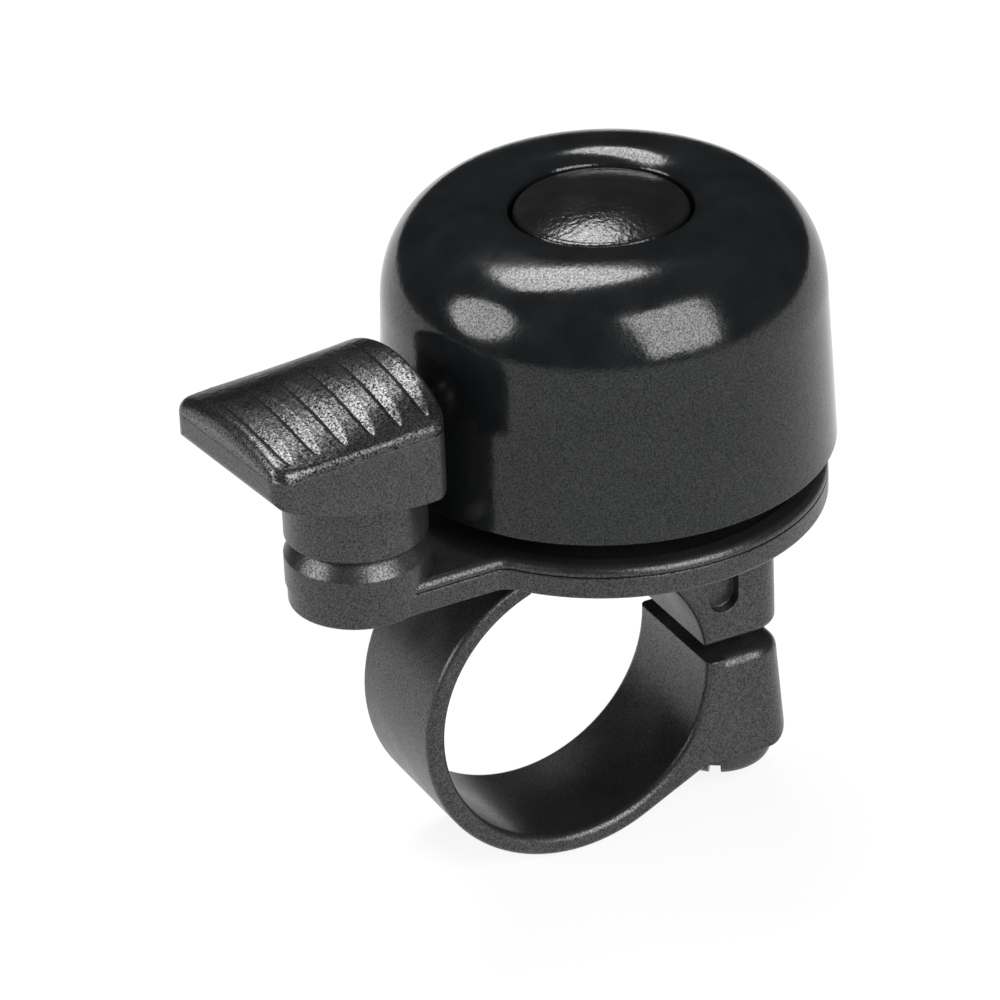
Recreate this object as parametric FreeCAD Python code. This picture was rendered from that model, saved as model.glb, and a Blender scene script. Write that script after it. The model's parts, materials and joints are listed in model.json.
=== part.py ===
import FreeCAD, Part
import os
from math import acos, atan2, cos, degrees, hypot, pi, radians, sin, sqrt

# Handlebar bell with a sprung thumb striker, all sizes in millimetres.
# Row frame: origin on the bar's axis at the middle of the clamp, +Y along the bar,
# +Z up through the bell, +X towards the clamp's screw.
# Bell frame: origin on the dome's axis at the bar's height, arm along -X.
# Striker frame: origin on the boss's axis, arm along -X, the dome on the +X side.

# Clearances
RUN = 0.06
GAP = 0.25
FIT = 0.02
THREAD_PLAY = 0.1

# Strap and saddle
BORE_R = 11.3
CLAMP_WIDTH = 11.1
HALF_WIDTH = CLAMP_WIDTH / 2
STRAP_WALL = 1.6
STRAP_R = BORE_R + STRAP_WALL
STRAP_EDGE_R = 0.5
BORE_EDGE_R = 0.6
STRAP_END_ANGLE = 108.5
NECK_THICK = 0.9
NECK_OVERLAP = 0.3
SADDLE_TOP = 14.1
HINGE_ANGLE = 101.0
HINGE_R = 12.5
BEAD_R = 1.05
SOCKET_LIP = 0.35
SADDLE_REACH = 0.8

# Lugs
SPLIT_LOW = 0.1
SPLIT_HIGH = 1.65
LUG_ROOT_X = 9.3
LUG_END_X = 18.25
LUG_FLARE = 0.75
LUG_CORNER_R = 2.6
LUG_EDGE_R = 0.6
LOWER_LUG_EDGE_R = 1.0
LUG_HEEL_R = 2.4
LUG_FOOT_X = 11.3
LUG_BOTTOM = -8.9
RECESS_X = 12.75
RECESS_HALF = 1.3
RECESS_LOW = 4.4
RECESS_DEPTH = 0.9

# Clamp screw, washer and nut
SCREW_X = 15.1
SCREW_R = 1.5
SCREW_SWING = 0.5
WASHER_R = 3.6
WASHER_THICK = 0.5
WASHER_LOW = LUG_BOTTOM - FIT - WASHER_THICK
HEAD_R = 4.1
HEAD_TOP = WASHER_LOW - 0.05
HEAD_LOW = HEAD_TOP - 2.25
HEAD_CROWN_R = 1.1
HEAD_SLOT = 1.0
HEAD_SLOT_TURN = 55
NUT_FLATS = 5.5
NUT_LOW = 10.2
NUT_HIGH = NUT_LOW + 2.4
SCREW_TIP = NUT_HIGH + 0.6

# Swivel bolt and washer
BELL_OFFSET = 6.17
BOLT_R = 2.0
BOLT_TOP = 38.1
BOLT_SEAT_Z = 12.6
BOLT_HEAD_R = 3.3
BOLT_HEAD_TALL = 1.4
BOLT_SOCKET = 2.5
BOLT_SOCKET_DEEP = 0.9
SWIVEL_R = 6.0
SWIVEL_HIGH = 15.0

# Base
ARM_TURN = 10.3
ARM_LENGTH = 23.77
PLATE_R = 16.55
ARM_END_R = 5.3
ARM_TAPER = 9.0
ARM_FILLET = 1.6
PLATE_LOW = 14.36
SEAM_Z = 16.15
SEAM_GROOVE = 0.15
PLATE_TOP = 17.0
LOWER_EDGE_R = 0.35
BEAD_EDGE_R = 0.6
BEAD_WIDTH = 1.6
DISC_SINK = 0.3
POST_R = 4.0
POST_TOP = 33.5
RIB_REACH = 2.5
RIB_TALL = 4.0
RIB_HALF = 0.5
BOSS_R = 5.45

# Spring and its plug
PLUG_FLANGE_R = 3.5
PLUG_FLANGE_TALL = 0.9
PLUG_PEG_R = 1.4
PLUG_PEG_TALL = 3.6
PLUG_SCREW_R = 0.8
PLUG_SCREW_LONG = 2.9
PLUG_HEAD_R = 1.7
PLUG_HEAD_TALL = 0.9
PLUG_SLOT = 0.5
PLUG_SLOT_DEEP = 0.45
SPRING_R = 1.95
SPRING_WIRE_R = 0.4
SPRING_PITCH = 0.95
SPRING_TOP = 26.0
SPRING_ROOM = 0.1
SPRING_WELL_R = SPRING_R + SPRING_WIRE_R + 0.2
WELL_FLARE = 1.2
WELL_FLARE_LOW = 18.0
WELL_FLARE_TALL = 4.2

# Dome
DOME_RIM_R = 17.25
DOME_RIM_Z = 19.13
RIM_ROUND = 0.3
SHOULDER_R = 16.72
SHOULDER_Z = 31.04
SHOULDER_POWER = 2.22
SHOULDER_STEPS = 8
CROWN_R = 9.24
DOME_TOP = 39.35
DOME_WALL = 1.2
LIP_R = 3.2
LIP_EDGE_R = 0.35
WELL_R = 6.94
WELL_FLOOR = 35.3
WELL_CORNER_R = 0.3
WELL_UNDER = WELL_FLOOR - DOME_WALL
DOME_HOLE_R = 3.0

# Dome fixings and cap
BUSH_R = 5.0
DOME_WASHER_THICK = 0.4
DOME_NUT_FLATS = 7.0
DOME_NUT_TALL = 2.2
CAP_R = 6.6
CAP_EDGE_Z = 38.5
CAP_TOP = 39.7
CAP_WALL = 0.9
CAP_SKIRT = 1.1
CAP_ROUND = 0.45

# Striker
PIVOT_Z = 15.5
BALL_R = 6.2
CAVITY_R = BALL_R + GAP
STEM_R = 5.35
STEM_LOW = 20.15
LEVER_OUT = 10.5
LEVER_IN = 4.0
LEVER_HALF_WIDTH = 7.5
LEVER_TOP_OUT = 30.95
LEVER_TOP_IN = 30.75
LEVER_TURN = -4.9
LEVER_CORNER_R = 1.4
LEVER_LOW = 24.9
LEVER_LOW_AT = 1.6
LEVER_LOW_OUT = 28.35
UNDERSIDE_SAG = 0.32
TIP_R = 0.8
HEEL_R = 1.3
PAD_THICK = 0.65
CROWN_OUT = 1.4
CROWN_IN = 3.0
HAMMER_Z = 27.6
HAMMER_R = 1.6
HAMMER_START = 1.0
HAMMER_TIP = 6.0

# Construction
BIG = 60.0
OVER = 1.0
NEAR = 0.01


def vec(x, y, z):
    return FreeCAD.Vector(x, y, z)


def cylinder(radius, low, high, x=0.0):
    """Upright cylinder between two heights."""
    return Part.makeCylinder(radius, high - low, vec(x, 0, low), vec(0, 0, 1))


def tube(outer, inner, low, high, x=0.0):
    """Upright ring between two heights."""
    return cylinder(outer, low, high, x).cut(cylinder(inner, low - OVER, high + OVER, x))


def box(low, high):
    """Box from its lowest to its highest corner."""
    size = [b - a for a, b in zip(low, high)]
    return Part.makeBox(size[0], size[1], size[2], vec(*low))


def hexagon(across_flats, low, high, x=0.0):
    """Upright hexagonal prism with two flats square to X."""
    corner = across_flats / sqrt(3.0)
    points = []
    for step in range(7):
        turn = radians(30 + 60 * step)
        points.append(vec(x + corner * cos(turn), corner * sin(turn), low))
    return Part.Face(Part.makePolygon(points)).extrude(vec(0, 0, high - low))


def line(start, end):
    return Part.LineSegment(vec(start[0], 0, start[1]), vec(end[0], 0, end[1])).toShape()


def arc(start, middle, end):
    points = [vec(p[0], 0, p[1]) for p in (start, middle, end)]
    return Part.Arc(points[0], points[1], points[2]).toShape()


def curve(points, first_slope, last_slope):
    """Smooth curve through points in the XZ plane, with its end directions given."""
    spline = Part.BSplineCurve()
    spline.interpolate(
        Points=[vec(p[0], 0, p[1]) for p in points],
        InitialTangent=vec(first_slope[0], 0, first_slope[1]),
        FinalTangent=vec(last_slope[0], 0, last_slope[1]),
    )
    return spline.toShape()


def polar(radius, angle, centre=(0.0, 0.0)):
    """Point round a centre, at an angle in degrees from +X towards +Z."""
    return (centre[0] + radius * cos(radians(angle)), centre[1] + radius * sin(radians(angle)))


def ring_arc(radius, start, end, centre=(0.0, 0.0)):
    """Arc round a centre of the XZ plane between two angles in degrees."""
    angles = (start, (start + end) / 2, end)
    return arc(*[polar(radius, angle, centre) for angle in angles])


def polyline(points):
    return [line(a, b) for a, b in zip(points[:-1], points[1:])]


def spin(edges):
    """Solid of revolution about Z of a closed outline in the XZ plane."""
    outline = Part.Wire(Part.sortEdges(edges)[0])
    return Part.Face(outline).revolve(vec(0, 0, 0), vec(0, 0, 1), 360)


def slab(edges, width):
    """Closed outline in the XZ plane, extruded evenly to both sides along Y."""
    outline = Part.Wire(Part.sortEdges(edges)[0])
    return Part.Face(outline).extrude(vec(0, width, 0)).translated(vec(0, -width / 2, 0))


def bell_place(shape):
    """From the bell frame to the row frame."""
    turned = shape.copy()
    turned.rotate(vec(0, 0, 0), vec(0, 0, 1), ARM_TURN)
    return turned.translated(vec(BELL_OFFSET, 0, 0))


def boss_place(shape):
    """From the striker frame to the row frame."""
    return bell_place(shape.translated(vec(-ARM_LENGTH, 0, 0)))


# ---- Clamp ---------------------------------------------------------------

HINGE = polar(HINGE_R, HINGE_ANGLE)
SADDLE_LEFT = HINGE[0] - SADDLE_REACH


def along_bar(radius, centre=(0.0, 0.0)):
    """Cylinder parallel to the bar, longer than the clamp is wide."""
    return Part.makeCylinder(radius, BIG, vec(centre[0], -BIG / 2, centre[1]), vec(0, 1, 0))


def bore_cutter():
    """Space of the bar, flared so that both edges of the bore come out rounded."""
    wide = BORE_R + BORE_EDGE_R
    turn = HALF_WIDTH - BORE_EDGE_R
    edges = polyline([(BORE_R, -turn), (BORE_R, turn)])
    edges.append(ring_arc(BORE_EDGE_R, 180, 90, (wide, turn)))
    edges += polyline([(wide, HALF_WIDTH), (wide, BIG), (0, BIG), (0, -BIG)])
    edges += polyline([(0, -BIG), (wide, -BIG), (wide, -HALF_WIDTH)])
    edges.append(ring_arc(BORE_EDGE_R, 270, 180, (wide, -turn)))
    cutter = spin(edges)
    cutter.rotate(vec(0, 0, 0), vec(1, 0, 0), 90)
    return cutter


def edges_where(shape, test):
    """Edges of a shape whose two ends and middle all pass a test."""
    chosen = []
    for edge in shape.Edges:
        first, last = edge.ParameterRange
        spots = [edge.valueAt(first + (last - first) * part) for part in (0, 0.5, 1)]
        if all(test(p) for p in spots):
            chosen.append(edge)
    return chosen


def lug_section(end_x, height):
    """Plan outline of a lug at one height, square at its root and rounded at its end."""
    start = end_x - LUG_CORNER_R
    side = HALF_WIDTH - LUG_CORNER_R
    turn = LUG_CORNER_R * sin(pi / 4)
    corners = [(LUG_ROOT_X, -HALF_WIDTH), (start, -HALF_WIDTH), (end_x, -side), (end_x, side)]
    corners += [(start, HALF_WIDTH), (LUG_ROOT_X, HALF_WIDTH)]
    points = [vec(x, y, height) for x, y in corners]
    middles = [vec(start + turn, y, height) for y in (-side - turn, side + turn)]
    edges = [
        Part.LineSegment(points[0], points[1]).toShape(),
        Part.Arc(points[1], middles[0], points[2]).toShape(),
        Part.LineSegment(points[2], points[3]).toShape(),
        Part.Arc(points[3], middles[1], points[4]).toShape(),
        Part.LineSegment(points[4], points[5]).toShape(),
        Part.LineSegment(points[5], points[0]).toShape(),
    ]
    return Part.Wire(edges)

def round_lug(body, height, radius):
    """Rounds the free edges of a lug at one height."""
    rim = []
    for edge in body.Edges:
        first, last = edge.ParameterRange
        middle = edge.valueAt((first + last) / 2)
        if abs(middle.z - height) < NEAR and middle.x > LUG_ROOT_X + NEAR:
            rim.append(edge)
    return body.makeFillet(radius, rim)


def heel_outline():
    """Side view of the lower lug's room, rounded at the foot of its free end."""
    far = LUG_END_X + LUG_FLARE
    near = LUG_ROOT_X - OVER
    top = SPLIT_LOW + OVER
    centre = (far - LUG_HEEL_R, LUG_BOTTOM + LUG_HEEL_R)
    edges = polyline([(centre[0], LUG_BOTTOM), (near, LUG_BOTTOM), (near, top)])
    edges += polyline([(near, top), (far, top), (far, centre[1])])
    edges.append(ring_arc(LUG_HEEL_R, 0, -90, centre))
    return edges


def lower_lug():
    """Lug under the split, flared downwards and well rounded at its foot."""
    top = lug_section(LUG_END_X, SPLIT_LOW)
    foot = lug_section(LUG_END_X + LUG_FLARE, LUG_BOTTOM)
    body = Part.makeLoft([foot, top], True, True)
    body = round_lug(body, SPLIT_LOW, LOWER_LUG_EDGE_R)
    return body.common(slab(heel_outline(), BIG))


def strap_band():
    """Ring sector round the bar, with a web up to the lug's foot."""
    foot = (LUG_FOOT_X, LUG_BOTTOM)
    reach = hypot(foot[0], foot[1])
    leave = degrees(atan2(foot[1], foot[0])) - degrees(acos(STRAP_R / reach))
    root = degrees(atan2(LUG_BOTTOM, LUG_ROOT_X))
    end = STRAP_END_ANGLE - 360
    outline = [line(polar(BORE_R, root), foot), line(foot, polar(STRAP_R, leave))]
    outline.append(ring_arc(STRAP_R, leave, end))
    outline.append(line(polar(STRAP_R, end), polar(BORE_R, end)))
    outline.append(ring_arc(BORE_R, end, root))
    body = slab(outline, CLAMP_WIDTH)

    def outer(p):
        side = abs(p.y) > HALF_WIDTH - NEAR
        return side and hypot(p.x, p.z) > STRAP_R - NEAR and p.z < HINGE[1]

    return body.makeFillet(STRAP_EDGE_R, edges_where(body, outer))


def hinge_bead():
    """Bead across the strap's end, on a short neck."""
    reach = HINGE_R * radians(STRAP_END_ANGLE - HINGE_ANGLE) + NECK_OVERLAP
    neck = box((-reach, -HALF_WIDTH, -NECK_THICK / 2), (0, HALF_WIDTH, NECK_THICK / 2))
    neck.rotate(vec(0, 0, 0), vec(0, 1, 0), 90 - (HINGE_ANGLE + STRAP_END_ANGLE) / 2)
    neck = neck.translated(vec(HINGE[0], 0, HINGE[1]))
    start = vec(HINGE[0], -HALF_WIDTH, HINGE[1])
    return neck.fuse(Part.makeCylinder(BEAD_R, CLAMP_WIDTH, start, vec(0, 1, 0)))


def clamp_strap():
    """Strap round the bar, with the lower lug and the bead that hinges in the saddle."""
    start = degrees(atan2(SPLIT_LOW, BORE_R))
    root = degrees(atan2(LUG_BOTTOM, LUG_ROOT_X))
    lap = root - 5
    wall = [ring_arc(BORE_R, lap, start), line(polar(BORE_R, start), (STRAP_R, SPLIT_LOW))]
    wall.append(line((STRAP_R, SPLIT_LOW), polar(STRAP_R, lap)))
    wall.append(line(polar(STRAP_R, lap), polar(BORE_R, lap)))
    body = slab(wall, CLAMP_WIDTH).fuse(lower_lug()).fuse(strap_band()).fuse(hinge_bead())
    hole = cylinder(SCREW_R + THREAD_PLAY, -BIG, BIG, SCREW_X)
    return body.cut(bore_cutter()).cut(hole).removeSplitter()


def hinge_socket():
    """Space in the saddle for the bead and the strap's end."""
    room = along_bar(BEAD_R + RUN, HINGE)
    mouth_top = HINGE[1] + BEAD_R - SOCKET_LIP
    corner = (SADDLE_LEFT - OVER, -BIG / 2, 0)
    return room.fuse(box(corner, (HINGE[0], BIG / 2, mouth_top)))


def saddle_recess():
    """U-shaped sink in the front face of the upper lug, rounded at its foot."""
    front = -HALF_WIDTH
    centre = RECESS_LOW + RECESS_HALF
    start = vec(RECESS_X, front - OVER, centre)
    foot = Part.makeCylinder(RECESS_HALF, RECESS_DEPTH + OVER, start, vec(0, 1, 0))
    low = (RECESS_X - RECESS_HALF, front - OVER, centre)
    high = (RECESS_X + RECESS_HALF, front + RECESS_DEPTH, SADDLE_TOP + OVER)
    return foot.fuse(box(low, high))


def clamp_saddle():
    """Upper half of the clamp: seat on the bar, upper lug and hinge socket."""
    low = lug_section(LUG_END_X, SPLIT_HIGH)
    lug = Part.Face(low).extrude(vec(0, 0, SADDLE_TOP - SPLIT_HIGH))
    lug = round_lug(lug, SPLIT_HIGH, LUG_EDGE_R)
    seat = box((SADDLE_LEFT, -HALF_WIDTH, SPLIT_HIGH), (LUG_ROOT_X, HALF_WIDTH, SADDLE_TOP))
    body = lug.fuse(seat).cut(bore_cutter()).cut(hinge_socket()).cut(saddle_recess())
    body = body.cut(cylinder(BOLT_R + RUN, 0, BIG, BELL_OFFSET))
    body = body.cut(cylinder(BOLT_HEAD_R + GAP, 0, BOLT_SEAT_Z, BELL_OFFSET))
    body = body.cut(cylinder(SCREW_R + SCREW_SWING, 0, BIG, SCREW_X))
    body = body.cut(hexagon(NUT_FLATS + 2 * FIT, NUT_LOW, BIG, SCREW_X))
    return body.removeSplitter()


def clamp_nut():
    """Captive hex nut in the upper lug."""
    nut = hexagon(NUT_FLATS, NUT_LOW, NUT_HIGH, SCREW_X)
    return nut.cut(cylinder(SCREW_R + THREAD_PLAY, 0, BIG, SCREW_X))


def clamp_washer():
    """Flat washer between the lower lug and the screw's head."""
    return tube(WASHER_R, SCREW_R + RUN, WASHER_LOW, WASHER_LOW + WASHER_THICK, SCREW_X)


def pan_head(radius, low, high, crown_r):
    """Flat-seated screw head whose free lower edge is well rounded."""
    centre = (radius - crown_r, low + crown_r)
    edges = polyline([(0, high), (radius, high), (radius, centre[1])])
    edges.append(ring_arc(crown_r, 0, -90, centre))
    edges += polyline([(centre[0], low), (0, low), (0, high)])
    return spin(edges)


def clamp_screw():
    """Pan-head screw with a straight slot, head down."""
    head = pan_head(HEAD_R, HEAD_LOW, HEAD_TOP, HEAD_CROWN_R)
    shank = cylinder(SCREW_R, HEAD_LOW + HEAD_CROWN_R, SCREW_TIP)
    low = (-BIG, -HEAD_SLOT / 2, HEAD_LOW - OVER)
    slot = box(low, (BIG, HEAD_SLOT / 2, HEAD_LOW + HEAD_CROWN_R))
    slot.rotate(vec(0, 0, 0), vec(0, 0, 1), HEAD_SLOT_TURN)
    return head.fuse(shank).cut(slot).translated(vec(SCREW_X, 0, 0))


# ---- Base ----------------------------------------------------------------


def arm_solid(low, high, inset):
    """Tapered arm and its round end, in the bell frame, drawn in by an inset."""
    end_r = ARM_END_R - inset
    taper = radians(ARM_TAPER)
    touch = (-ARM_LENGTH + end_r * sin(taper), end_r * cos(taper))
    root_y = end_r / cos(taper) + ARM_LENGTH * sin(taper) / cos(taper)
    corners = [(touch[0], -touch[1]), (0, -root_y), (0, root_y), (touch[0], touch[1])]
    points = [vec(x, y, low) for x, y in corners + corners[:1]]
    wedge = Part.Face(Part.makePolygon(points)).extrude(vec(0, 0, high - low))
    return wedge.fuse(cylinder(end_r, low, high, -ARM_LENGTH))


def base_solid(low, high, inset=0.0):
    """Disc with its arm, with a hollow round where the two meet."""
    radius = PLATE_R - inset
    body = cylinder(radius, low, high).fuse(arm_solid(low, high, inset)).removeSplitter()

    def on_disc(p):
        return abs(hypot(p.x, p.y) - radius) < NEAR and p.x < -NEAR

    roots = [e for e in edges_where(body, on_disc) if e.BoundBox.ZLength > high - low - NEAR]
    return body.makeFillet(ARM_FILLET, roots)


def outline_edges(body, height):
    """Edges round the outside of a plate at one height."""
    def outside(p):
        far = hypot(p.x, p.y) > PLATE_R - OVER or p.x < -PLATE_R
        return abs(p.z - height) < NEAR and far

    return edges_where(body, outside)


def lower_plate():
    """Under half of the base, with the swivel washer's recess and the plug screw's hole."""
    body = base_solid(PLATE_LOW, SEAM_Z)
    body = body.makeFillet(LOWER_EDGE_R, outline_edges(body, PLATE_LOW))
    body = body.cut(cylinder(BOLT_R + RUN, 0, BIG))
    body = body.cut(cylinder(SWIVEL_R + FIT, 0, SWIVEL_HIGH))
    body = body.cut(cylinder(PLUG_SCREW_R + FIT, 0, BIG, -ARM_LENGTH))
    return body.cut(cylinder(PLUG_HEAD_R + FIT, 0, PLATE_LOW + PLUG_HEAD_TALL, -ARM_LENGTH))


def boss_profile():
    """Boss with a ball-shaped top about the striker's pivot."""
    side_z = PIVOT_Z + sqrt(BALL_R ** 2 - BOSS_R ** 2)
    lean = 0.5 * atan2(BOSS_R, side_z - PIVOT_Z)
    middle = (BALL_R * sin(lean), PIVOT_Z + BALL_R * cos(lean))
    edges = polyline([(0, SEAM_Z), (BOSS_R, SEAM_Z), (BOSS_R, side_z)])
    edges.append(arc((BOSS_R, side_z), middle, (0, PIVOT_Z + BALL_R)))
    edges.append(line((0, PIVOT_Z + BALL_R), (0, SEAM_Z)))
    return edges


def upper_plate():
    """Upper half of the base: disc with a raised rim, arm, boss and the dome's post."""
    body = base_solid(SEAM_Z + SEAM_GROOVE, PLATE_TOP)
    body = body.makeFillet(BEAD_EDGE_R, outline_edges(body, PLATE_TOP))
    body = body.fuse(base_solid(SEAM_Z, SEAM_Z + SEAM_GROOVE, SEAM_GROOVE))
    body = body.cut(cylinder(PLATE_R - BEAD_WIDTH, PLATE_TOP - DISC_SINK, BIG))
    body = body.fuse(spin(boss_profile()).translated(vec(-ARM_LENGTH, 0, 0)))
    body = body.fuse(cylinder(POST_R, SEAM_Z, POST_TOP))
    for step in range(4):
        rib = box((0, -RIB_HALF, SEAM_Z), (POST_R + RIB_REACH, RIB_HALF, SEAM_Z + RIB_TALL))
        rib.rotate(vec(0, 0, 0), vec(0, 0, 1), 45 + 90 * step)
        body = body.fuse(rib)
    body = body.cut(cylinder(BOLT_R + RUN, 0, BIG))
    body = body.cut(cylinder(PLUG_FLANGE_R + FIT, 0, SEAM_Z + PLUG_FLANGE_TALL, -ARM_LENGTH))
    body = body.cut(cylinder(SPRING_WELL_R, 0, BIG, -ARM_LENGTH))
    wide = SPRING_WELL_R + WELL_FLARE
    flare = Part.makeCone(SPRING_WELL_R, wide, WELL_FLARE_TALL, vec(-ARM_LENGTH, 0, WELL_FLARE_LOW))
    return body.cut(flare).removeSplitter()


def spring_plug():
    """Flanged plug that carries the spring's foot on its peg."""
    plug = cylinder(PLUG_FLANGE_R, SEAM_Z, SEAM_Z + PLUG_FLANGE_TALL)
    plug = plug.fuse(cylinder(PLUG_PEG_R, SEAM_Z, SEAM_Z + PLUG_PEG_TALL))
    return plug.cut(cylinder(PLUG_SCREW_R + FIT, 0, SEAM_Z + PLUG_SCREW_LONG + THREAD_PLAY))


def plug_screw():
    """Small screw from below through the lower plate into the plug."""
    head = cylinder(PLUG_HEAD_R, PLATE_LOW, PLATE_LOW + PLUG_HEAD_TALL - FIT)
    slot = box((-BIG, -PLUG_SLOT / 2, 0), (BIG, PLUG_SLOT / 2, PLATE_LOW + PLUG_SLOT_DEEP))
    shank = cylinder(PLUG_SCREW_R, PLATE_LOW, SEAM_Z + PLUG_SCREW_LONG)
    return head.fuse(shank).cut(slot)


def striker_spring():
    """Coil spring from the plug's flange up into the stem."""
    low = SEAM_Z + PLUG_FLANGE_TALL + SPRING_WIRE_R + FIT
    high = SPRING_TOP - SPRING_WIRE_R - FIT
    helix = Part.makeHelix(SPRING_PITCH, high - low, SPRING_R)
    section = Part.Wire(Part.makeCircle(SPRING_WIRE_R, vec(SPRING_R, 0, 0), vec(0, 1, 0)))
    coil = Part.Wire(helix).makePipeShell([section], True, True)
    return coil.translated(vec(0, 0, low))


def swivel_washer():
    """Friction washer between the saddle and the lower plate."""
    return tube(SWIVEL_R, BOLT_R + RUN, SADDLE_TOP + RUN, SWIVEL_HIGH)


def centre_bolt():
    """Low-headed bolt from the saddle up through plates, post and dome."""
    head_top = BOLT_SEAT_Z - RUN
    head_low = head_top - BOLT_HEAD_TALL
    head = cylinder(BOLT_HEAD_R, head_low, head_top)
    socket = hexagon(BOLT_SOCKET, head_low - OVER, head_low + BOLT_SOCKET_DEEP)
    shank = cylinder(BOLT_R, head_low, BOLT_TOP)
    return head.fuse(shank).cut(socket)


# ---- Dome ----------------------------------------------------------------

LIP_CENTRE = (CROWN_R, DOME_TOP - LIP_R)


def shoulder(wall):
    """Shoulder curve at a depth below the outer skin, from the wall up to the crown."""
    across = SHOULDER_R - CROWN_R - wall
    tall = DOME_TOP - SHOULDER_Z - wall
    points = []
    for step in range(SHOULDER_STEPS + 1):
        turn = radians(90 * step / SHOULDER_STEPS)
        x = CROWN_R + across * cos(turn) ** (2 / SHOULDER_POWER)
        z = SHOULDER_Z + tall * sin(turn) ** (2 / SHOULDER_POWER)
        points.append((x, z))
    return curve(points, (0, 1), (-1, 0))


def dome():
    """Gong: tapered wall, round shoulder and a sunk well with a hole for its bush."""
    inner_rim = DOME_RIM_R - DOME_WALL
    rim_z = DOME_RIM_Z + RIM_ROUND
    rim_middle = (DOME_RIM_R - DOME_WALL / 2, DOME_RIM_Z)
    corner = (WELL_R - WELL_CORNER_R, WELL_FLOOR + WELL_CORNER_R)
    lip_turn = degrees(acos((WELL_R + LIP_EDGE_R - CROWN_R) / (LIP_R - LIP_EDGE_R)))
    lip_edge = polar(LIP_R - LIP_EDGE_R, lip_turn, LIP_CENTRE)
    edges = [arc((DOME_RIM_R, rim_z), rim_middle, (inner_rim, rim_z))]
    edges.append(line((DOME_RIM_R, rim_z), (SHOULDER_R, SHOULDER_Z)))
    edges.append(shoulder(0))
    edges.append(ring_arc(LIP_R, 90, lip_turn, LIP_CENTRE))
    edges.append(ring_arc(LIP_EDGE_R, lip_turn, 180, lip_edge))
    edges.append(line((WELL_R, lip_edge[1]), (WELL_R, corner[1])))
    edges.append(ring_arc(WELL_CORNER_R, 0, -90, corner))
    hole = [(corner[0], WELL_FLOOR), (DOME_HOLE_R, WELL_FLOOR)]
    hole += [(DOME_HOLE_R, WELL_UNDER), (corner[0], WELL_UNDER)]
    edges += polyline(hole)
    edges.append(ring_arc(WELL_CORNER_R + DOME_WALL, -90, 0, corner))
    under_turn = degrees(acos((WELL_R + DOME_WALL - CROWN_R) / (LIP_R - DOME_WALL)))
    under_lip = polar(LIP_R - DOME_WALL, under_turn, LIP_CENTRE)
    edges.append(line((WELL_R + DOME_WALL, corner[1]), under_lip))
    edges.append(ring_arc(LIP_R - DOME_WALL, under_turn, 90, LIP_CENTRE))
    edges.append(shoulder(DOME_WALL))
    edges.append(line((SHOULDER_R - DOME_WALL, SHOULDER_Z), (inner_rim, rim_z)))
    return spin(edges)


def dome_bush():
    """Shoulder bush: a flange on the post and a sleeve through the dome's hole."""
    flange = tube(BUSH_R, BOLT_R + RUN, POST_TOP, WELL_UNDER)
    sleeve = tube(DOME_HOLE_R - FIT, BOLT_R + RUN, POST_TOP, WELL_FLOOR - FIT)
    return flange.fuse(sleeve).removeSplitter()


def dome_washer():
    """Washer on the well's floor."""
    return tube(BUSH_R, BOLT_R + RUN, WELL_FLOOR, WELL_FLOOR + DOME_WASHER_THICK)


def dome_nut():
    """Thin nut on the centre bolt."""
    low = WELL_FLOOR + DOME_WASHER_THICK
    nut = hexagon(DOME_NUT_FLATS, low, low + DOME_NUT_TALL)
    return nut.cut(cylinder(BOLT_R + FIT, 0, BIG))


def crown_arc(radius, edge_z, rise):
    """Arc of a shallow cap from its edge up to the axis."""
    ball = (radius ** 2 + rise ** 2) / (2 * rise)
    turn = atan2(radius, ball - rise) / 2
    middle = (ball * sin(turn), edge_z + rise - ball + ball * cos(turn))
    return arc((radius, edge_z), middle, (0, edge_z + rise))


def dome_cap():
    """Shallow-domed plug over the nut, with a skirt down to the well's floor."""
    rise = CAP_TOP - CAP_EDGE_Z
    inner = CAP_R - CAP_SKIRT
    low = WELL_FLOOR + FIT
    flat = CAP_R - CAP_ROUND
    side_z = CAP_EDGE_Z - CAP_ROUND
    edges = polyline([(inner, low), (CAP_R, low), (CAP_R, side_z)])
    edges.append(ring_arc(CAP_ROUND, 0, 90, (flat, side_z)))
    edges.append(crown_arc(flat, CAP_EDGE_Z, rise))
    edges.append(line((0, CAP_TOP), (0, CAP_TOP - CAP_WALL)))
    edges.append(crown_arc(inner, CAP_EDGE_Z - CAP_WALL, rise))
    edges.append(line((inner, CAP_EDGE_Z - CAP_WALL), (inner, low)))
    return spin(edges)


# ---- Striker -------------------------------------------------------------

def lever_plan():
    """Upright block with the lever's plan shape, its corners rounded."""
    low = (-LEVER_OUT, -LEVER_HALF_WIDTH, LEVER_LOW)
    high = (LEVER_IN, LEVER_HALF_WIDTH, LEVER_TOP_IN + CROWN_IN)
    body = box(low, high)
    upright = [e for e in body.Edges if e.BoundBox.ZLength > high[2] - low[2] - FIT]
    return body.makeFillet(LEVER_CORNER_R, upright)


def crown_section(x, side_z, crown):
    """Closed outline across the lever: flat below, an arc over the top."""
    w = LEVER_HALF_WIDTH
    ball = (w ** 2 + crown ** 2) / (2 * crown)
    wide = w + OVER
    wide_z = side_z + crown - ball + sqrt(ball ** 2 - wide ** 2)
    corners = [(wide, wide_z), (wide, LEVER_LOW), (-wide, LEVER_LOW), (-wide, wide_z)]
    points = [vec(x, y, z) for y, z in corners]
    edges = [Part.LineSegment(a, b).toShape() for a, b in zip(points[:-1], points[1:])]
    edges.append(Part.Arc(points[3], vec(x, 0, side_z + crown), points[0]).toShape())
    return Part.Wire(edges)


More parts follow.
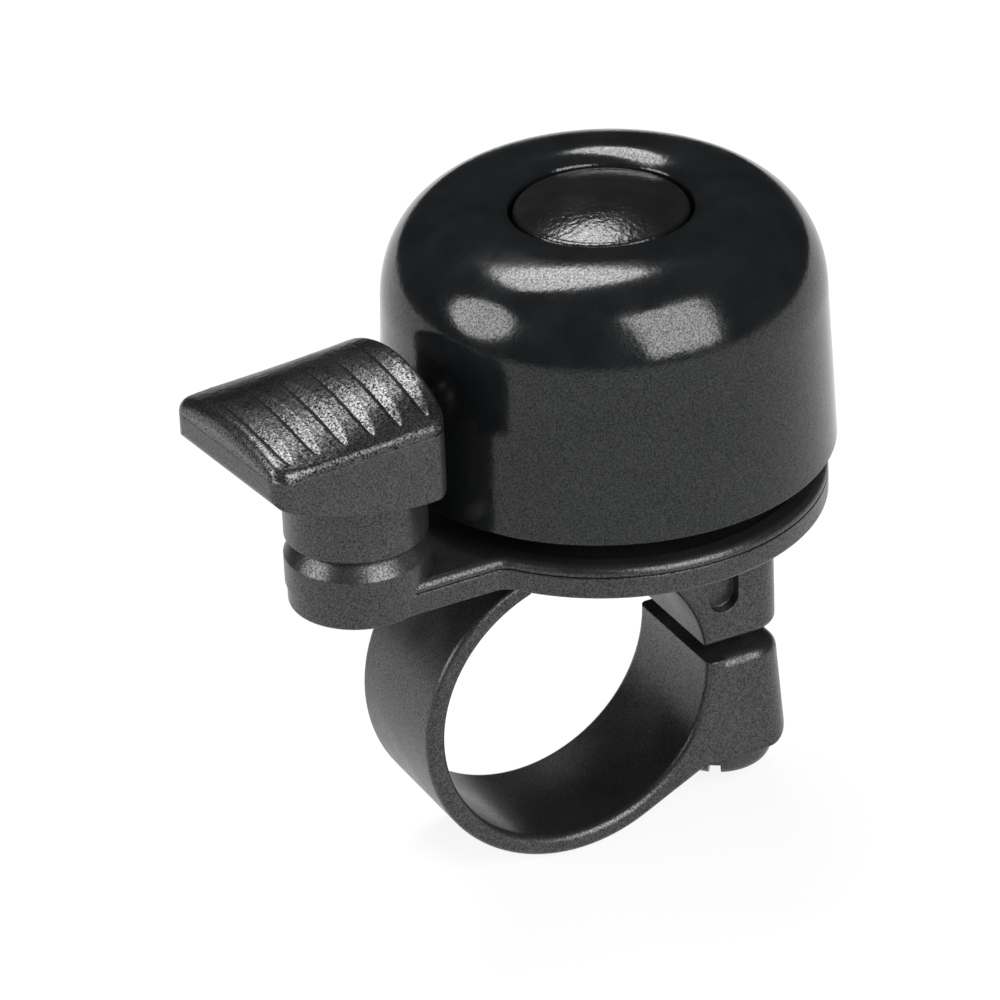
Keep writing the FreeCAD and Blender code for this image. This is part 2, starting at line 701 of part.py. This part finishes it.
def under_crown():
    """Everything below the pad's crowned top face."""
    outer = crown_section(-LEVER_OUT, LEVER_TOP_OUT, CROWN_OUT)
    inner = crown_section(LEVER_IN, LEVER_TOP_IN, CROWN_IN)
    return Part.makeLoft([outer, inner], True, True)


def under_seam():
    """Everything below the flat seam between the lever and its pad."""
    low = LEVER_LOW - OVER
    seam = [(-LEVER_OUT, LEVER_TOP_OUT - PAD_THICK), (LEVER_IN, LEVER_TOP_IN - PAD_THICK)]
    corners = [(-LEVER_OUT, low)] + seam + [(LEVER_IN, low), (-LEVER_OUT, low)]
    return slab(polyline(corners), 4 * LEVER_HALF_WIDTH)


def above_underside():
    """Everything above the lever's underside, which sweeps up to the free end."""
    bottom = (LEVER_LOW_AT, LEVER_LOW)
    tip = (-LEVER_OUT, LEVER_LOW_OUT)
    middle = ((bottom[0] + tip[0]) / 2, LEVER_LOW + (LEVER_LOW_OUT - LEVER_LOW) * UNDERSIDE_SAG)
    heel = (LEVER_IN - HEEL_R, LEVER_LOW + HEEL_R)
    top = LEVER_TOP_IN + CROWN_IN
    edges = [arc(tip, middle, bottom), line(bottom, (heel[0], LEVER_LOW))]
    edges.append(ring_arc(HEEL_R, -90, 0, heel))
    edges += polyline([(LEVER_IN, heel[1]), (LEVER_IN, top), (-LEVER_OUT, top), tip])
    body = slab(edges, 4 * LEVER_HALF_WIDTH)

    def at_tip(p):
        return hypot(p.x - tip[0], p.z - tip[1]) < NEAR

    return body.makeFillet(TIP_R, edges_where(body, at_tip))


def lever_turned(shape):
    """Turned about the stem, as the lever sits on it."""
    placed = shape.copy()
    placed.rotate(vec(0, 0, 0), vec(0, 0, 1), LEVER_TURN)
    return placed


def thumb_pad():
    """Crowned pad on top of the lever."""
    return lever_turned(lever_plan().common(under_crown()).cut(under_seam()))


def striker_body():
    """Stem with its ball cavity and spring socket, and the lever under the pad."""
    lever = lever_plan().common(above_underside()).common(under_seam())
    body = lever_turned(lever).fuse(cylinder(STEM_R, STEM_LOW, LEVER_LOW + HEEL_R))
    body = body.cut(Part.makeSphere(CAVITY_R, vec(0, 0, PIVOT_Z)))
    body = body.cut(cylinder(SPRING_R + SPRING_WIRE_R + SPRING_ROOM, STEM_LOW, SPRING_TOP))
    return body.cut(hammer_shank(HAMMER_R + FIT, HAMMER_TIP)).removeSplitter()


def hammer_shank(radius, end):
    """Cylinder along X from inside the lever towards the dome."""
    length = end - HAMMER_START
    return Part.makeCylinder(radius, length, vec(HAMMER_START, 0, HAMMER_Z), vec(1, 0, 0))


def hammer():
    """Round-nosed striking pin."""
    nose = Part.makeSphere(HAMMER_R, vec(HAMMER_TIP - HAMMER_R, 0, HAMMER_Z))
    shank = hammer_shank(HAMMER_R, HAMMER_TIP - HAMMER_R)
    return shank.fuse(nose).removeSplitter()


# ---- Files ---------------------------------------------------------------

ROW_PIECES = (clamp_saddle, clamp_strap, clamp_nut, clamp_washer, clamp_screw)
BELL_PIECES = (
    lower_plate, upper_plate, swivel_washer, centre_bolt,
    dome, dome_bush, dome_washer, dome_nut, dome_cap,
)
BOSS_PIECES = (spring_plug, plug_screw, striker_spring, striker_body, thumb_pad, hammer)


def write(name, shape):
    shape.exportStep("parts/" + name + ".step")
    print("%-16s solids %d valid %s volume %.1f" % (name, len(shape.Solids), shape.isValid(), shape.Volume))


os.makedirs("parts", exist_ok=True)
for make in ROW_PIECES:
    write(make.__name__, make())
for make in BELL_PIECES:
    write(make.__name__, bell_place(make()))
for make in BOSS_PIECES:
    write(make.__name__, boss_place(make()))
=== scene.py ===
import bpy
import json
import math
from mathutils import Matrix, Vector, noise


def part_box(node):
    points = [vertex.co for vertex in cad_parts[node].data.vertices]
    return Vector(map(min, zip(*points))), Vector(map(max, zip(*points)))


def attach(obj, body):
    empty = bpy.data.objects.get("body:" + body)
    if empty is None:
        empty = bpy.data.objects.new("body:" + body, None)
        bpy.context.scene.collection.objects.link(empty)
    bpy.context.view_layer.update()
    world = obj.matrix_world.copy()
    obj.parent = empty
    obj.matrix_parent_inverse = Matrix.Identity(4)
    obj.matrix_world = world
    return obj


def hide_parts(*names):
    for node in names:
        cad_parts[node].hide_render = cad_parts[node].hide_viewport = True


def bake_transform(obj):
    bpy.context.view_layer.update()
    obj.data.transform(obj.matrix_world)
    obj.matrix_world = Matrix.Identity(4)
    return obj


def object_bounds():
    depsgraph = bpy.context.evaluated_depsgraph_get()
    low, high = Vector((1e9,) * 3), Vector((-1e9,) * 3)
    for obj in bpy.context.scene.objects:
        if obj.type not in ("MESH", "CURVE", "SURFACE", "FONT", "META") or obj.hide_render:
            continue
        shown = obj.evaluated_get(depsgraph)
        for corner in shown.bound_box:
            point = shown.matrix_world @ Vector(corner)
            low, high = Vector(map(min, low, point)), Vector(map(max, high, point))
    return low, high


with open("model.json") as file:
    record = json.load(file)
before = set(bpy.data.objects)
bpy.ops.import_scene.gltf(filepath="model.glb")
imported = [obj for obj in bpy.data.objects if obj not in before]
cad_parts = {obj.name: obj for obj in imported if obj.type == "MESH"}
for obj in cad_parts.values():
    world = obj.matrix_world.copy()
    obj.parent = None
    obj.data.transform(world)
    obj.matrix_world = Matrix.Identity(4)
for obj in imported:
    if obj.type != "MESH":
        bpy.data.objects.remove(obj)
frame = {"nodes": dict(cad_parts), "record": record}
cad_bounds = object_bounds()

MM = 0.001
MICRON = MM * MM
RECORD = frame["record"]
JOINTS = {joint["name"]: joint for joint in RECORD["behaviour"]["joints"]}


def axis_of(node):
    """Point at the bar's height on the upright axis of a node."""
    low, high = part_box(node)
    return Vector(((low.x + high.x) / 2, (low.y + high.y) / 2, 0))


def direction_at(azimuth, elevation):
    """Unit vector at an azimuth from +X and an elevation, both in radians."""
    level = math.cos(elevation)
    return Vector((math.cos(azimuth) * level, math.sin(azimuth) * level, math.sin(elevation)))


# ---- Camera ----------------------------------------------------------------

CAMERA_AZIMUTH = math.radians(-26.48)
CAMERA_ELEVATION = math.radians(29.36)
CAMERA_ROLL = math.radians(-2.46)
CAMERA_DISTANCE = 450 * MM
CAMERA_LENS = 210.07
CAMERA_NEAREST = 10 * MM
SENSOR_WIDTH = 36.0
AIM_RIGHT = 8.914 * MM
AIM_UP = -11.741 * MM


def make_camera():
    """Camera that looks along the bar and down, with its azimuth taken from -Y."""
    back = direction_at(CAMERA_AZIMUTH, CAMERA_ELEVATION)
    back = Vector((back.y, -back.x, back.z))
    level_right = (-back).cross(Vector((0, 0, 1))).normalized()
    level_up = level_right.cross(-back)
    right = math.cos(CAMERA_ROLL) * level_right + math.sin(CAMERA_ROLL) * level_up
    up = math.cos(CAMERA_ROLL) * level_up - math.sin(CAMERA_ROLL) * level_right
    place = axis_of("dome") - AIM_RIGHT * right - AIM_UP * up + CAMERA_DISTANCE * back
    data = bpy.data.cameras.new("camera")
    data.lens = CAMERA_LENS
    data.sensor_width = SENSOR_WIDTH
    data.clip_start = CAMERA_NEAREST
    camera = bpy.data.objects.new("camera", data)
    turn = Matrix((right, up, back)).transposed().to_4x4()
    camera.matrix_world = Matrix.Translation(place) @ turn
    bpy.context.scene.collection.objects.link(camera)
    bpy.context.scene.camera = camera


# ---- Studio ----------------------------------------------------------------

FLOOR_RADIUS = 0.55
FLOOR_SIDES = 96
FLOOR_GAP = 0.2 * MM
FLOOR_ALBEDO = 0.1
FLOOR_GLOW = 0.87
FLOOR_ROUGHNESS = 0.9
FLOOR_SPECULAR = 0.1
WORLD_LEVEL = 0.022
LIGHT_DISTANCE = 1.0
LIGHT_AIM_HEIGHT = 25 * MM
SOFTBOXES = (
    # name, shape, azimuth from +X, elevation, width, height, radiance
    ("key_right", "RECTANGLE", -78.5, 28, 0.70, 0.92, 8.8),
    ("side_left", "ELLIPSE", 172, 24, 0.64, 0.64, 8.4),
    ("top_back", "ELLIPSE", 100, 71, 0.80, 0.50, 13.0),
)


def floor_paper():
    """Pale paper with a glow of its own, so that shadows on it stay faint."""
    mat = bpy.data.materials.new("floor_paper")
    mat.use_nodes = True
    shader = mat.node_tree.nodes["Principled BSDF"]
    shader.inputs["Base Color"].default_value = (FLOOR_ALBEDO,) * 3 + (1,)
    shader.inputs["Roughness"].default_value = FLOOR_ROUGHNESS
    shader.inputs["Specular IOR Level"].default_value = FLOOR_SPECULAR
    shader.inputs["Emission Color"].default_value = (1, 1, 1, 1)
    shader.inputs["Emission Strength"].default_value = FLOOR_GLOW
    return mat


def make_floor():
    centre = axis_of("dome")
    height = cad_bounds[0][2] - FLOOR_GAP
    turns = [2 * math.pi * i / FLOOR_SIDES for i in range(FLOOR_SIDES)]
    rim = [
        (centre.x + FLOOR_RADIUS * math.cos(turn), centre.y + FLOOR_RADIUS * math.sin(turn), height)
        for turn in turns
    ]
    mesh = bpy.data.meshes.new("floor")
    mesh.from_pydata(rim, [], [list(range(FLOOR_SIDES))])
    mesh.materials.append(floor_paper())
    floor = bpy.data.objects.new("floor", mesh)
    bpy.context.scene.collection.objects.link(floor)


def make_softbox(name, shape, azimuth, elevation, width, height, radiance):
    """Area light of a given radiance, facing the bell."""
    direction = direction_at(math.radians(azimuth), math.radians(elevation))
    data = bpy.data.lights.new(name, "AREA")
    data.shape = shape
    data.size = width
    data.size_y = height
    area = width * height * (1 if shape == "RECTANGLE" else math.pi / 4)
    data.energy = radiance * math.pi * area
    light = bpy.data.objects.new(name, data)
    aim = axis_of("dome") + Vector((0, 0, LIGHT_AIM_HEIGHT))
    light.location = aim + LIGHT_DISTANCE * direction
    light.rotation_mode = "QUATERNION"
    light.rotation_quaternion = direction.to_track_quat("Z", "Y")
    bpy.context.scene.collection.objects.link(light)


def make_world():
    world = bpy.data.worlds.new("studio")
    world.use_nodes = True
    world.node_tree.nodes["Background"].inputs["Color"].default_value = (WORLD_LEVEL,) * 3 + (1,)
    bpy.context.scene.world = world
    bpy.context.scene.view_settings.view_transform = "Standard"


# ---- Material nodes --------------------------------------------------------

WORN_EDGE = (0.86, 0.995)  # how far the softened normal agrees with the face, from worn to whole
BEVEL_SAMPLES = 4


def add_node(tree, kind, inputs, **settings):
    """A node with its settings made and its inputs linked or set."""
    node = tree.nodes.new(kind)
    for key, value in settings.items():
        setattr(node, key, value)
    for key, value in inputs.items():
        if isinstance(value, bpy.types.NodeSocket):
            tree.links.new(value, node.inputs[key])
        else:
            node.inputs[key].default_value = value
    return node


def noise_of(tree, coords, size_mm, detail, rough=0.5):
    inputs = {"Vector": coords, "Scale": 1 / (size_mm * MM), "Detail": detail, "Roughness": rough}
    return add_node(tree, "ShaderNodeTexNoise", inputs).outputs[0]


def spread(tree, value, low, high, start=0.35, end=0.65):
    """The value's middle range, stretched from low to high."""
    inputs = {"Value": value, "From Min": start, "From Max": end, "To Min": low, "To Max": high}
    return add_node(tree, "ShaderNodeMapRange", inputs).outputs[0]


def blend_colors(tree, factor, first, second):
    inputs = {0: factor, 6: first, 7: second}
    return add_node(tree, "ShaderNodeMix", inputs, data_type="RGBA").outputs[2]


def bump_on(tree, height, depth_um, normal):
    inputs = {"Height": height, "Distance": depth_um * MICRON, "Strength": 1.0, "Normal": normal}
    return add_node(tree, "ShaderNodeBump", inputs).outputs[0]


def rub_edges(tree, tint, worn, wear, grain, bevel):
    """The worn colour, broken up by the grain, where a face turns into an edge."""
    flat = add_node(tree, "ShaderNodeNewGeometry", {}).outputs["Normal"]
    match = add_node(tree, "ShaderNodeVectorMath", {0: bevel, 1: flat}, operation="DOT_PRODUCT")
    edge = spread(tree, match.outputs["Value"], wear, 0.0, *WORN_EDGE)
    factors = {0: edge, 1: spread(tree, grain, 0, 1)}
    rub = add_node(tree, "ShaderNodeMath", factors, operation="MULTIPLY")
    return blend_colors(tree, rub.outputs[0], tint, (*worn, 1))


def surface(name, color, other, rough, grain_mm, grain_um, sheen=0.5, speck=0.0, metallic=0.0,
            patch_mm=5.0, worn=None, wear=0.0, edge_mm=0.2, swell_mm=None, swell_um=0.0):
    """Finish with fine grain, slow changes of colour and gloss, and softened, worn edges."""
    mat = bpy.data.materials.new(name)
    mat.use_nodes = True
    tree = mat.node_tree
    shader = tree.nodes["Principled BSDF"]
    coords = add_node(tree, "ShaderNodeTexCoord", {}).outputs["Object"]
    grain = noise_of(tree, coords, grain_mm, detail=2.0)
    patch = noise_of(tree, coords, patch_mm, detail=4.0, rough=0.6)
    tint = blend_colors(tree, spread(tree, patch, 0, 1), (*color, 1), (*other, 1))
    bevel = add_node(tree, "ShaderNodeBevel", {"Radius": edge_mm * MM}, samples=BEVEL_SAMPLES).outputs[0]
    if worn:
        tint = rub_edges(tree, tint, worn, wear, grain, bevel)
    normal = bump_on(tree, grain, grain_um, bevel)
    if swell_mm:
        normal = bump_on(tree, noise_of(tree, coords, swell_mm, detail=1.0), swell_um, normal)
    tree.links.new(tint, shader.inputs["Base Color"])
    tree.links.new(spread(tree, patch, *rough), shader.inputs["Roughness"])
    tree.links.new(normal, shader.inputs["Normal"])
    if speck:
        shine = spread(tree, grain, sheen - speck, sheen + speck)
        tree.links.new(shine, shader.inputs["Specular IOR Level"])
    else:
        shader.inputs["Specular IOR Level"].default_value = sheen
    shader.inputs["Metallic"].default_value = metallic
    return mat


# ---- Finishes, one for each slot of the record -----------------------------

RUBBED_BLACK = (0.05, 0.05, 0.052)
BARE_STEEL = (0.45, 0.44, 0.43)


def gloss_paint():
    """Stoved black paint with a slight orange peel."""
    return surface(
        "gloss_paint", (0.0045, 0.005, 0.0055), (0.0065, 0.007, 0.0075), rough=(0.12, 0.18),
        grain_mm=0.13, grain_um=0.8, sheen=0.37, speck=0.2, patch_mm=4.0,
        worn=RUBBED_BLACK, wear=0.25, edge_mm=0.12, swell_mm=0.45, swell_um=8.0)


def moulded_nylon():
    """Semi-matte black nylon, spark-grained in its mould."""
    return surface(
        "moulded_nylon", (0.011, 0.011, 0.0115), (0.014, 0.014, 0.0145), rough=(0.27, 0.36),
        grain_mm=0.14, grain_um=8.0, sheen=0.52, speck=0.35, worn=RUBBED_BLACK, wear=0.5)


def textured_plastic():
    """Satin black plastic with a pebbled face."""
    return surface(
        "textured_plastic", (0.005, 0.0052, 0.0055), (0.008, 0.008, 0.0085), rough=(0.15, 0.23),
        grain_mm=0.12, grain_um=2.0, sheen=0.42, speck=0.25,
        worn=RUBBED_BLACK, wear=0.3, edge_mm=0.12, swell_mm=0.4, swell_um=36.0)


def pad_rubber():
    """Gritty black rubber."""
    return surface(
        "pad_rubber", (0.004, 0.004, 0.0045), (0.008, 0.008, 0.008), rough=(0.26, 0.34),
        grain_mm=0.16, grain_um=7.0, sheen=0.6, speck=0.6,
        worn=RUBBED_BLACK, wear=0.4, edge_mm=0.1)


def bearing_plastic():
    """Natural acetal."""
    return surface(
        "bearing_plastic", (0.58, 0.57, 0.53), (0.5, 0.49, 0.45), rough=(0.35, 0.5),
        grain_mm=0.15, grain_um=4.0, speck=0.1)


def black_steel():
    """Oxide-blacked steel, bare where its edges are rubbed."""
    return surface(
        "black_steel", (0.012, 0.012, 0.013), (0.02, 0.019, 0.018), rough=(0.3, 0.42),
        grain_mm=0.12, grain_um=5.0, speck=0.25, worn=BARE_STEEL, wear=0.35, edge_mm=0.12)


def zinc_steel():
    """Zinc-plated steel."""
    return surface(
        "zinc_steel", (0.5, 0.51, 0.52), (0.4, 0.41, 0.43), rough=(0.28, 0.42),
        grain_mm=0.1, grain_um=3.0, metallic=1.0, patch_mm=2.0)


def spring_steel():
    """Drawn spring wire."""
    return surface(
        "spring_steel", (0.4, 0.4, 0.41), (0.3, 0.29, 0.28), rough=(0.25, 0.4),
        grain_mm=0.08, grain_um=2.0, metallic=1.0, patch_mm=1.5)


FINISHES = (
    gloss_paint, moulded_nylon, textured_plastic, pad_rubber,
    bearing_plastic, black_steel, zinc_steel, spring_steel,
)


def dress(looks):
    """Give every CAD node the finish of its slot."""
    for entry in RECORD["subparts"]:
        node = frame["nodes"][entry["node"]]
        node.data.materials.clear()
        node.data.materials.append(looks[entry["material_slot"]])


# ---- Mesh helpers ----------------------------------------------------------

def mesh_piece(name, points, faces, look):
    """Smooth-shaded object from points in millimetres."""
    mesh = bpy.data.meshes.new(name)
    mesh.from_pydata([tuple(MM * v for v in p) for p in points], [], faces)
    mesh.materials.append(look)
    mesh.polygons.foreach_set("use_smooth", [True] * len(mesh.polygons))
    piece = bpy.data.objects.new(name, mesh)
    bpy.context.scene.collection.objects.link(piece)
    return piece


def tube_faces(rows, sides):
    """Faces of a closed tube whose rings of points turn right-handed about its run."""
    faces = []
    for j in range(rows):
        for i in range(sides):
            after = (i + 1) % sides
            faces.append((j * sides + i, j * sides + after, (j + 1) * sides + after, (j + 1) * sides + i))
    faces.append(tuple(range(sides - 1, -1, -1)))
    faces.append(tuple(rows * sides + i for i in range(sides)))
    return faces


# ---- Thumb pad, laid out in millimetres from the stem's axis ---------------

LEVER_TURN = math.radians(-4.9)
LEVER_OUT = 10.5
LEVER_IN = 4.0
LEVER_LENGTH = LEVER_OUT + LEVER_IN
LEVER_HALF_WIDTH = 7.5
LEVER_CORNER_R = 1.4
PAD_SIDE_OUT = 30.95
PAD_SIDE_IN = 30.75
PAD_THICK = 0.65
PAD_CROWN_OUT = 1.4
PAD_CROWN_IN = 3.0
PAD_EDGE_R = 0.3
PAD_END_R = 1.0
PAD_END_REACH = 3
PAD_STEP = 0.09
GROOVE_PITCH = 2.3
GROOVE_FIRST = -8.9
GROOVE_COUNT = 6
GROOVE_HALF = 0.58
GROOVE_DEPTH = 0.32
GROOVE_LOWEST = -0.4
GROOVE_NEAR = -6.6
GROOVE_FAR = 3.6
GROOVE_NEAR_POWER = 0.45
GROOVE_FAR_POWER = 0.8
GROOVE_SWELL = 2.26  # brings the widest place to the full half width
GROOVE_WALL_POWER = 0.9
GRIT_HEIGHT = 0.018
GRIT_FINE = 0.22
GRIT_FINE_SHARE = 0.6
GRIT_BROAD = 0.5
GRIT_BROAD_SHARE = 0.8
GRIT_BROAD_LAYER = 9
GRIT_SINK = 0.5


def along_lever(x, out, at_root):
    """A value that runs evenly from the lever's free end to its root."""
    return out + (at_root - out) * (x + LEVER_OUT) / LEVER_LENGTH


def crown_rise(crown, y):
    """Height of an arc across the lever above its ends."""
    ball = (LEVER_HALF_WIDTH ** 2 + crown ** 2) / (2 * crown)
    return crown - ball + math.sqrt(ball ** 2 - y ** 2)


def groove_depth(x, y):
    """Depth of the lens-shaped scallops across the pad, steep towards the tip."""
    along = (y - GROOVE_NEAR) / (GROOVE_FAR - GROOVE_NEAR)
    if not 0 < along < 1:
        return 0.0
    swell = GROOVE_SWELL * along ** GROOVE_NEAR_POWER * (1 - along) ** GROOVE_FAR_POWER
    nearest = round((x - GROOVE_FIRST) / GROOVE_PITCH)
    nearest = min(max(nearest, 0), GROOVE_COUNT - 1)
    across = (x - GROOVE_FIRST - nearest * GROOVE_PITCH) / (GROOVE_HALF * swell)
    if abs(across) >= 1:
        return 0.0
    reach = 1 - GROOVE_LOWEST if across > GROOVE_LOWEST else 1 + GROOVE_LOWEST
    share = 1 - abs(across - GROOVE_LOWEST) / reach
    return GROOVE_DEPTH * swell * share ** GROOVE_WALL_POWER


def depth_inside(x, y):
    """Distance in from the lever's rounded outline."""
    middle = (LEVER_IN - LEVER_OUT) / 2
    past_x = abs(x - middle) - LEVER_LENGTH / 2 + LEVER_CORNER_R
    past_y = abs(y) - LEVER_HALF_WIDTH + LEVER_CORNER_R
    outside = math.hypot(max(past_x, 0), max(past_y, 0)) + min(max(past_x, past_y), 0)
    return max(LEVER_CORNER_R - outside, 0)


def pad_edge_drop(x, y):
    """How far the face drops to round the pad's upper edge."""
    end_share = min(max((-LEVER_OUT + PAD_END_REACH - x) / PAD_END_REACH, 0), 1)
    radius = PAD_EDGE_R + (PAD_END_R - PAD_EDGE_R) * end_share
    depth = depth_inside(x, y)
    if depth >= radius:
        return 0.0
    return radius - math.sqrt(radius ** 2 - (radius - depth) ** 2)


def pad_grit(x, y):
    fine = noise.noise(Vector((x, y, 0)) / GRIT_FINE)
    broad = noise.noise(Vector((x, y, GRIT_BROAD_LAYER)) / GRIT_BROAD)
    return GRIT_HEIGHT * (GRIT_FINE_SHARE * fine + GRIT_BROAD_SHARE * broad - GRIT_SINK)


def pad_side_height(x):
    """Height of the pad's upper edge along the lever."""
    return along_lever(x, PAD_SIDE_OUT, PAD_SIDE_IN)


def pad_face_height(x, y):
    crown = along_lever(x, crown_rise(PAD_CROWN_OUT, y), crown_rise(PAD_CROWN_IN, y))
    return pad_side_height(x) + crown - groove_depth(x, y) - pad_edge_drop(x, y) + pad_grit(x, y)


def pad_face_points(columns, rows):
    """Rows of points over the pad's face, each row as long as the outline is there."""
    points = []
    for j in range(rows + 1):
        y = LEVER_HALF_WIDTH * (2 * j / rows - 1)
        near_end = max(abs(y) - LEVER_HALF_WIDTH + LEVER_CORNER_R, 0)
        inset = LEVER_CORNER_R - math.sqrt(LEVER_CORNER_R ** 2 - near_end ** 2)
        for i in range(columns + 1):
            x = -LEVER_OUT + inset + (LEVER_LENGTH - 2 * inset) * i / columns
            points.append((x, y, pad_face_height(x, y)))
    return points


def pad_rim(columns, rows):
    """Indices of the face's outer points, once round."""
    wide = columns + 1
    rim = list(range(wide)) + [j * wide + columns for j in range(1, rows)]
    rim += [rows * wide + i for i in range(columns, -1, -1)]
    return rim + [j * wide for j in range(rows - 1, 0, -1)]


def make_pad(look):
    """Ribbed, gritty face of the thumb pad, down to its seam on the lever."""
    step = PAD_STEP * 1
    columns = int(LEVER_LENGTH / step)
    rows = int(2 * LEVER_HALF_WIDTH / step)
    wide = columns + 1
    points = pad_face_points(columns, rows)
    faces = [
        (j * wide + i, j * wide + i + 1, (j + 1) * wide + i + 1, (j + 1) * wide + i)
        for j in range(rows) for i in range(columns)
    ]
    rim = pad_rim(columns, rows)
    start = len(points)
    count = len(rim)
    for index in rim:
        x, y, _ = points[index]
        points.append((x, y, pad_side_height(x) - PAD_THICK))
    for k in range(count):
        after = (k + 1) % count
        faces.append((rim[after], rim[k], start + k, start + after))
    faces.append(tuple(range(start + count - 1, start - 1, -1)))
    pad = mesh_piece("pad_ribbed", points, faces, look)
    joint = JOINTS["striker_tilt"]
    arm_turn = math.atan2(joint["axis"][0], -joint["axis"][1])
    place = Matrix.Translation((joint["pos_m"][0], joint["pos_m"][1], 0))
    pad.data.transform(place @ Matrix.Rotation(arm_turn + LEVER_TURN, 4, "Z"))
    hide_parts("thumb_pad")
    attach(pad, "striker")


# ---- Thread of the clamp screw ---------------------------------------------

THREAD_PITCH = 0.7
THREAD_ROOT = 1.48
THREAD_CREST = 1.56
THREAD_FLANK = 0.4
THREAD_FLAT = 1.3
THREAD_END = 0.3
THREAD_SIDES = 64
THREAD_ROWS_PER_PITCH = 10


def thread_radius(z, share):
    """Radius of the thread at a height and a share of a turn."""
    phase = (z / THREAD_PITCH - share) % 1
    crest = max(0.0, 1 - abs(phase - 0.5) / THREAD_FLANK)
    return THREAD_ROOT + (THREAD_CREST - THREAD_ROOT) * min(1.0, THREAD_FLAT * crest)


def make_thread(look):
    """Rolled thread on the clamp screw's shank."""
    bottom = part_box("clamp_washer")[1].z / MM
    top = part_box("clamp_screw")[1].z / MM - THREAD_END
    sides = THREAD_SIDES
    rows = int((top - bottom) / THREAD_PITCH * THREAD_ROWS_PER_PITCH)
    points = []
    for j in range(rows + 1):
        z = bottom + (top - bottom) * j / rows
        for i in range(sides):
            radius = thread_radius(z, i / sides)
            turn = 2 * math.pi * i / sides
            points.append((radius * math.cos(turn), radius * math.sin(turn), z))
    thread = mesh_piece("screw_thread", points, tube_faces(rows, sides), look)
    thread.matrix_world = Matrix.Translation(axis_of("clamp_screw"))
    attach(thread, "clamp_screw")


# ---- Striker spring --------------------------------------------------------

COIL_WIRE_R = 0.4
COIL_PITCH = 0.95
COIL_SIDES = 10
COIL_STEPS_PER_TURN = 28


def make_coil(look):
    """Striker spring, a straight coil between its plug and the striker's stem."""
    low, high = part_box("striker_spring")
    height = (high.z - low.z) / MM
    mean_radius = (high.x - low.x) / 2 / MM - COIL_WIRE_R
    turns = height / COIL_PITCH
    steps = int(turns * COIL_STEPS_PER_TURN)
    points = []
    for k in range(steps + 1):
        turn = 2 * math.pi * turns * k / steps
        z = low.z / MM + COIL_WIRE_R + (height - 2 * COIL_WIRE_R) * k / steps
        for i in range(COIL_SIDES):
            lean = -2 * math.pi * i / COIL_SIDES
            out = mean_radius + COIL_WIRE_R * math.cos(lean)
            points.append((out * math.cos(turn), out * math.sin(turn), z + COIL_WIRE_R * math.sin(lean)))
    coil = mesh_piece("spring_coil", points, tube_faces(steps, COIL_SIDES), look)
    centre = axis_of("striker_spring")
    coil.matrix_world = Matrix.Translation(centre)
    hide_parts("striker_spring")
    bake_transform(coil)


make_camera()
make_floor()
for softbox in SOFTBOXES:
    make_softbox(*softbox)
make_world()
looks = {finish.__name__: finish() for finish in FINISHES}
dress(looks)
make_pad(looks["pad_rubber"])
make_thread(looks["black_steel"])
make_coil(looks["spring_steel"])
